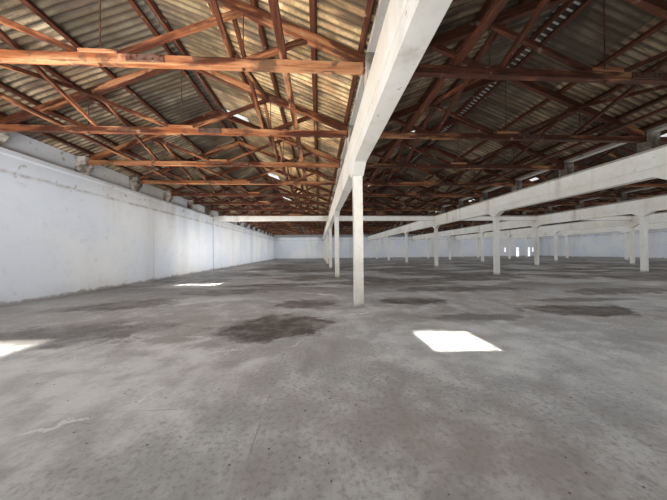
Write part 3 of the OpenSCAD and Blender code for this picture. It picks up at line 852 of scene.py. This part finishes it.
# Rooflights: distance from the nave's middle in odd and even naves, level length and width
high_light, low_light, light_run, light_w = 0.13, 0.86, 0.48 * math.cos(roof_pitch), 0.5


def on_slope(half, d, up):
    """A point on the right slope, up from the purlins' top by an amount square to the slope."""
    return Vector((half - d, 0, rafter_top(d) + (purlin_h + up) / math.cos(roof_pitch)))


def course(half, low_d, high_d, lift, number_up, scores):
    """One course of sheets from its low end to its high end, without thickness."""
    bpy.ops.object.select_all(action="DESELECT")
    bpy.ops.mesh.primitive_grid_add(x_subdivisions=1, y_subdivisions=wave_steps, size=1)
    sheet = bpy.context.object
    for step in range(wave_steps + 1):
        pick(sheet, "VERT", lambda corner: abs(corner.co.y + 0.5 - step / wave_steps) < 0.01)
        rise = math.cos(2 * math.pi * step / wave_steps) * (wave_depth - sheet_t) / 2
        bpy.ops.transform.translate(value=(0, 0, rise))
    bpy.ops.object.mode_set(mode="OBJECT")
    low = on_slope(half, low_d, lift + wave_depth / 2)
    high = on_slope(half, high_d, wave_depth / 2)
    run = (low - high).normalized()
    up = run.cross(Vector((0, 1, 0)))
    sheet.matrix_world = (Matrix.Translation((low + high) / 2 + Vector((0, wave / 2 - roof_end, 0)))
                          @ Matrix((run, (0, 1, 0), up)).transposed().to_4x4()
                          @ Matrix.Diagonal(((low - high).length, wave, 1, 1)))
    bpy.ops.object.transform_apply()
    for d in scores:
        cut(sheet, (half - d, 0, 0), (1, 0, 0), saw=False)
    row = sheet.data.attributes.new("course", "FLOAT", "POINT")
    for value in row.data:
        value.value = number_up
    shape(sheet, "ARRAY", count=waves, use_relative_offset=False, use_constant_offset=True,
          constant_offset_displace=(0, wave, 0), use_merge_vertices=True, merge_threshold=0.001)
    return sheet


def taken_out(sheet, fits, name):
    """Parts off the faces whose middle fits, as a piece of its own."""
    alone(sheet)
    pick(sheet, "FACE", lambda face: fits(face.center))
    bpy.ops.mesh.separate(type="SELECTED")
    bpy.ops.object.mode_set(mode="OBJECT")
    parted = [piece for piece in bpy.context.selected_objects if piece is not sheet][0]
    parted.name = parted.data.name = name
    return parted


def slope_sheets(half, low_d, light_x=None):
    """The sheets of a right slope, and its translucent sheets if it has them."""
    step = (half - ridge_open - low_d) / courses
    sheets, glazing = [], []

    def in_light(at):
        from_middle = abs((at.y + hall_end) % bay - bay / 2)
        return light_x < at.x < light_x + light_run and from_middle < light_w / 2

    for i in range(courses):
        low, high = low_d + i * step - (lap_down if i else 0), low_d + (i + 1) * step
        edges = (half - light_x, half - light_x - light_run) if light_x else ()
        scores = [d for d in edges if low < d < high]
        sheet = course(half, low, high, lap_up, i, scores)
        if scores:
            glazing.append(taken_out(sheet, in_light, "glazing"))
        sheets.append(sheet)
    return sheets, glazing


def turned_over(piece):
    """Mirrors a finished piece to the left slope."""
    alone(piece)
    bpy.ops.object.mode_set(mode="EDIT")
    bpy.ops.mesh.select_all(action="SELECT")
    bpy.ops.transform.resize(value=(-1, 1, 1), center_override=(0, 0, 0))
    bpy.ops.mesh.flip_normals()
    bpy.ops.object.mode_set(mode="OBJECT")


def copied(piece, name, x):
    """Copies a piece with its own mesh and moves it across the hall."""
    alone(piece)
    bpy.ops.object.duplicate()
    twin = bpy.context.object
    twin.name = twin.data.name = name
    return moved(twin, (x, 0, 0))


sheet_mat, tree, shader, place = finish("fibre_cement")
along = axes(tree, place)
row = add(tree, "Attribute", attribute_name="course").outputs["Fac"]
# Each sheet gets its own tone, from its place in the course, its course and its slope
from_front = number(tree, "ADD", along["Y"], roof_end)
side_place = number(tree, "DIVIDE", from_front, waves_a_sheet * wave)
slope_cell = 2.52
slope_number = number(tree, "FLOOR", number(tree, "DIVIDE", along["X"], slope_cell))
cell = add(tree, "CombineXYZ", {0: number(tree, "FLOOR", side_place), 1: row,
                                2: slope_number}).outputs[0]
chance = add(tree, "TexWhiteNoise", {"Vector": cell}, noise_dimensions="3D").outputs[0]
streak = noise(tree, stretched(tree, place, (0.35, 3.2, 0.35)), 3.4, 6, 0.65)
cloud = noise(tree, place, 1.7, 6, 0.62)
fine = noise(tree, place, 30, 5, 0.7)
colour = mix(tree, between(tree, cloud, 0.38, 0.62), (0.29, 0.2, 0.12, 1), (0.5, 0.395, 0.265, 1))
# The top course is damper and greyer than the others
top_row = between(tree, row, 1.2, 1.8)
colour = mix(tree, top_row, colour, tint(tree, colour, (0.4, 0.43, 0.47, 1)))
# Painted light makes the first nave's right slope the palest and yellowest
painted_lit_slope = times(tree, between(tree, along["X"], -12.6, -12.2),
               between(tree, along["X"], -9.9, -10.1))
colour = mix(tree, painted_lit_slope, colour, tint(tree, colour, (1.5, 1.38, 1.12, 1)))
colour = mix(tree, between(tree, streak, 0.46, 0.64, 0.0, 0.85), colour, (0.065, 0.046, 0.032, 1))
# Painted shade darkens the hollows of the underside, which are the crests of the waves
painted_hollow_shade = number(tree, "COSINE", times(tree, from_front, 2 * math.pi / wave))
painted_hollow_shade = between(tree, painted_hollow_shade, -0.1, 1.0, 0.0, 0.72)
colour = mix(tree, painted_hollow_shade, colour, (0.06, 0.046, 0.034, 1))
colour = mix(tree, between(tree, fine, 0.42, 0.7, 0.0, 0.5), colour, (0.12, 0.095, 0.072, 1))
damp = ragged(tree, place, 1.1, 0.5, 0.12)
colour = mix(tree, times(tree, damp, 0.75), colour, (0.055, 0.044, 0.035, 1))
tone = between(tree, chance, 0.0, 1.0, 0.62, 1.15)
tone = add(tree, "CombineColor", {0: tone, 1: tone, 2: tone}).outputs[0]
colour = tint(tree, colour, tone)
# The upper side has weathered to a pale grey with lichen and dark runs
outside = axes(tree, add(tree, "NewGeometry").outputs["True Normal"])["Z"]
outside = between(tree, outside, 0.0, 0.2)
weathered = mix(tree, cloud, (0.27, 0.25, 0.215, 1), (0.45, 0.43, 0.39, 1))
weathered = mix(tree, between(tree, streak, 0.46, 0.7, 0.0, 0.6), weathered,
                (0.13, 0.115, 0.095, 1))
weathered = mix(tree, between(tree, fine, 0.5, 0.66, 0.0, 0.5), weathered, (0.13, 0.12, 0.09, 1))
weathered = mix(tree, times(tree, damp, 0.4), weathered, (0.14, 0.125, 0.1, 1))
weathered = mix(tree, 0.45, weathered, tint(tree, weathered, tone))
colour = mix(tree, outside, colour, weathered)
# A dark line where a sheet laps over the one beside it
side_lap = between(tree, number(tree, "PINGPONG", side_place, 0.5), 0.022, 0.006)
colour = mix(tree, times(tree, side_lap, 0.6), colour, (0.07, 0.06, 0.05, 1))
height = number(tree, "SUBTRACT", fine, times(tree, side_lap, 0.8))
bump = bumped(tree, height, 0.35, 0.003)
set_inputs(tree, shader, {"Base Color": colour, "Roughness": 0.88, "Normal": bump})

light_mat, tree, shader, place = finish("translucent_sheet")
dust = between(tree, noise(tree, place, 3.5, 8, 0.65), 0.4, 0.72)
colour = mix(tree, dust, (0.62, 0.72, 0.8, 1), (0.42, 0.4, 0.36, 1))
bump = bumped(tree, dust, 0.2, 0.002)
set_inputs(tree, shader, {"Base Color": colour, "Roughness": 0.4, "Normal": bump,
                          "Alpha": number(tree, "ADD", times(tree, dust, 0.3), 0.04)})

over_gutter, past_wall = 0.03, -0.334
glass = []
for name, half, left_d, right_d, naves in (
        ("nave_1", outer_half, past_wall, over_gutter, {1: -outer_x}),
        ("odd", inner_half, over_gutter, over_gutter, {3: -inner_half, 5: 3 * inner_half}),
        ("even", inner_half, over_gutter, over_gutter, {2: -3 * inner_half, 4: inner_half}),
        ("nave_6", outer_half, over_gutter, past_wall, {6: outer_x})):
    odd = min(naves) % 2 == 1
    right, right_panes = slope_sheets(half, right_d, high_light if odd else None)
    left, left_panes = slope_sheets(half, left_d, None if odd else low_light)
    for sheet in left + left_panes:
        turned_over(sheet)
    roof = joined(name, right + left)
    pane = joined(name + "_glazing", right_panes + left_panes)
    for piece in (roof, pane):
        shape(piece, "SOLIDIFY", thickness=sheet_t, offset=0.0)
        alone(piece)
        bpy.ops.object.shade_smooth_by_angle(angle=math.radians(50))
    for k, x in naves.items():
        made = copied(roof, f"nave_{k}_sheets", x)
        dress(made, sheet_mat, "fibre_cement", f"nave_{k}_roof")
        glass.append(copied(pane, "glazing", x))
    alone(roof)
    pane.select_set(True)
    bpy.ops.object.delete()
dress(joined("rooflight_sheets", glass), light_mat, "translucent_sheet", "skylight_sheets")


# ---- Ridge caps
# Each ridge is closed by a row of moulded fibre-cement ridge pieces, with a roll at the top and
# a wing on each side that lies over the sheets' crests.
cap_l, cap_count, cap_wing, cap_t = 0.57, 50, 0.149, 0.004
roll_r, roll_top = 0.024, 3.8795


def ridge_cap(half):
    """One ridge piece: the upper half of a tube whose lower edges are drawn out into wings."""
    centre_z = roll_top - roll_r - (outer_half - half) * slope
    bpy.ops.object.select_all(action="DESELECT")
    bpy.ops.mesh.primitive_cylinder_add(vertices=12, radius=roll_r, depth=cap_l,
                                        end_fill_type="NOTHING", rotation=(math.pi / 2, 0, 0),
                                        location=(0, cap_l / 2, centre_z))
    cap = bpy.context.object
    bpy.ops.object.transform_apply()
    # The lower half of the tube is taken off
    cut(cap, (0, 0, centre_z), (0, 0, -1))
    low, reach = centre_z + 0.001, cap_wing - roll_r
    pick(cap, "FACE", lambda face: abs(face.normal.z) > 0.99 and face.center.z < low)
    bpy.ops.mesh.delete(type="FACE")
    for way in (-1, 1):
        def lower(edge):
            a, b = ends(cap, edge)
            return (abs(a.y - b.y) > cap_l / 2 and max(a.z, b.z) < low and way * a.x > roll_r / 2)

        pick(cap, "EDGE", lower)
        bpy.ops.mesh.extrude_region_move(
            TRANSFORM_OT_translate={"value": (way * reach, 0, -reach * slope)})
    bpy.ops.mesh.select_all(action="SELECT")
    bpy.ops.mesh.normals_make_consistent(inside=False)
    bpy.ops.object.mode_set(mode="OBJECT")
    # A line is scored near its end
    cut(cap, (0, 0.06, 0), (0, 1, 0), saw=False)
    shape(cap, "SOLIDIFY", thickness=cap_t, offset=0.0)
    return cap


moulded_mat, tree, shader, place = finish("moulded_cement")
cloud = noise(tree, place, 2.3, 8, 0.64)
colour = mix(tree, between(tree, cloud, 0.36, 0.64), (0.36, 0.335, 0.29, 1), (0.52, 0.5, 0.46, 1))
lichen = ragged(tree, place, 9.0, 0.57, 0.06)
colour = mix(tree, times(tree, lichen, 0.7), colour, (0.13, 0.115, 0.09, 1))
damp = ragged(tree, place, 1.3, 0.52, 0.14)
colour = mix(tree, times(tree, damp, 0.55), colour, (0.16, 0.14, 0.115, 1))
# The underside is painted dark brown in the first nave, and further on pale, as painted daylight
# that gets in under it
under = axes(tree, add(tree, "NewGeometry").outputs["True Normal"])["Z"]
under = between(tree, under, -0.2, -0.6, 0.0, 0.9)
from_left = axes(tree, place)["X"]
painted_underside_light = mix(tree, between(tree, from_left, -10.5, -9.5), (0.07, 0.058, 0.046, 1),
                   (0.7, 0.7, 0.68, 1))
colour = mix(tree, under, colour, painted_underside_light)
bump = bumped(tree, placed(tree, grit, Vector=place, Scale=14.0), 0.3, 0.004)
set_inputs(tree, shader, {"Base Color": colour, "Roughness": 0.85, "Normal": bump})

caps = in_all_naves("ridge_caps_rolled", ridge_cap, cap_count,
                    (2 * roof_end - cap_l) / (cap_count - 1), -roof_end)
alone(caps)
bpy.ops.object.shade_smooth_by_angle(angle=math.radians(50))
dress(caps, moulded_mat, "fibre_cement", "ridge_caps")


# ---- Valley gutters
# The gutters between two roofs are long fibre-cement troughs, open at the top. They lie on the
# blocks and are moulded like the ridge pieces.
coat(moulded_mat, "valley_gutters")
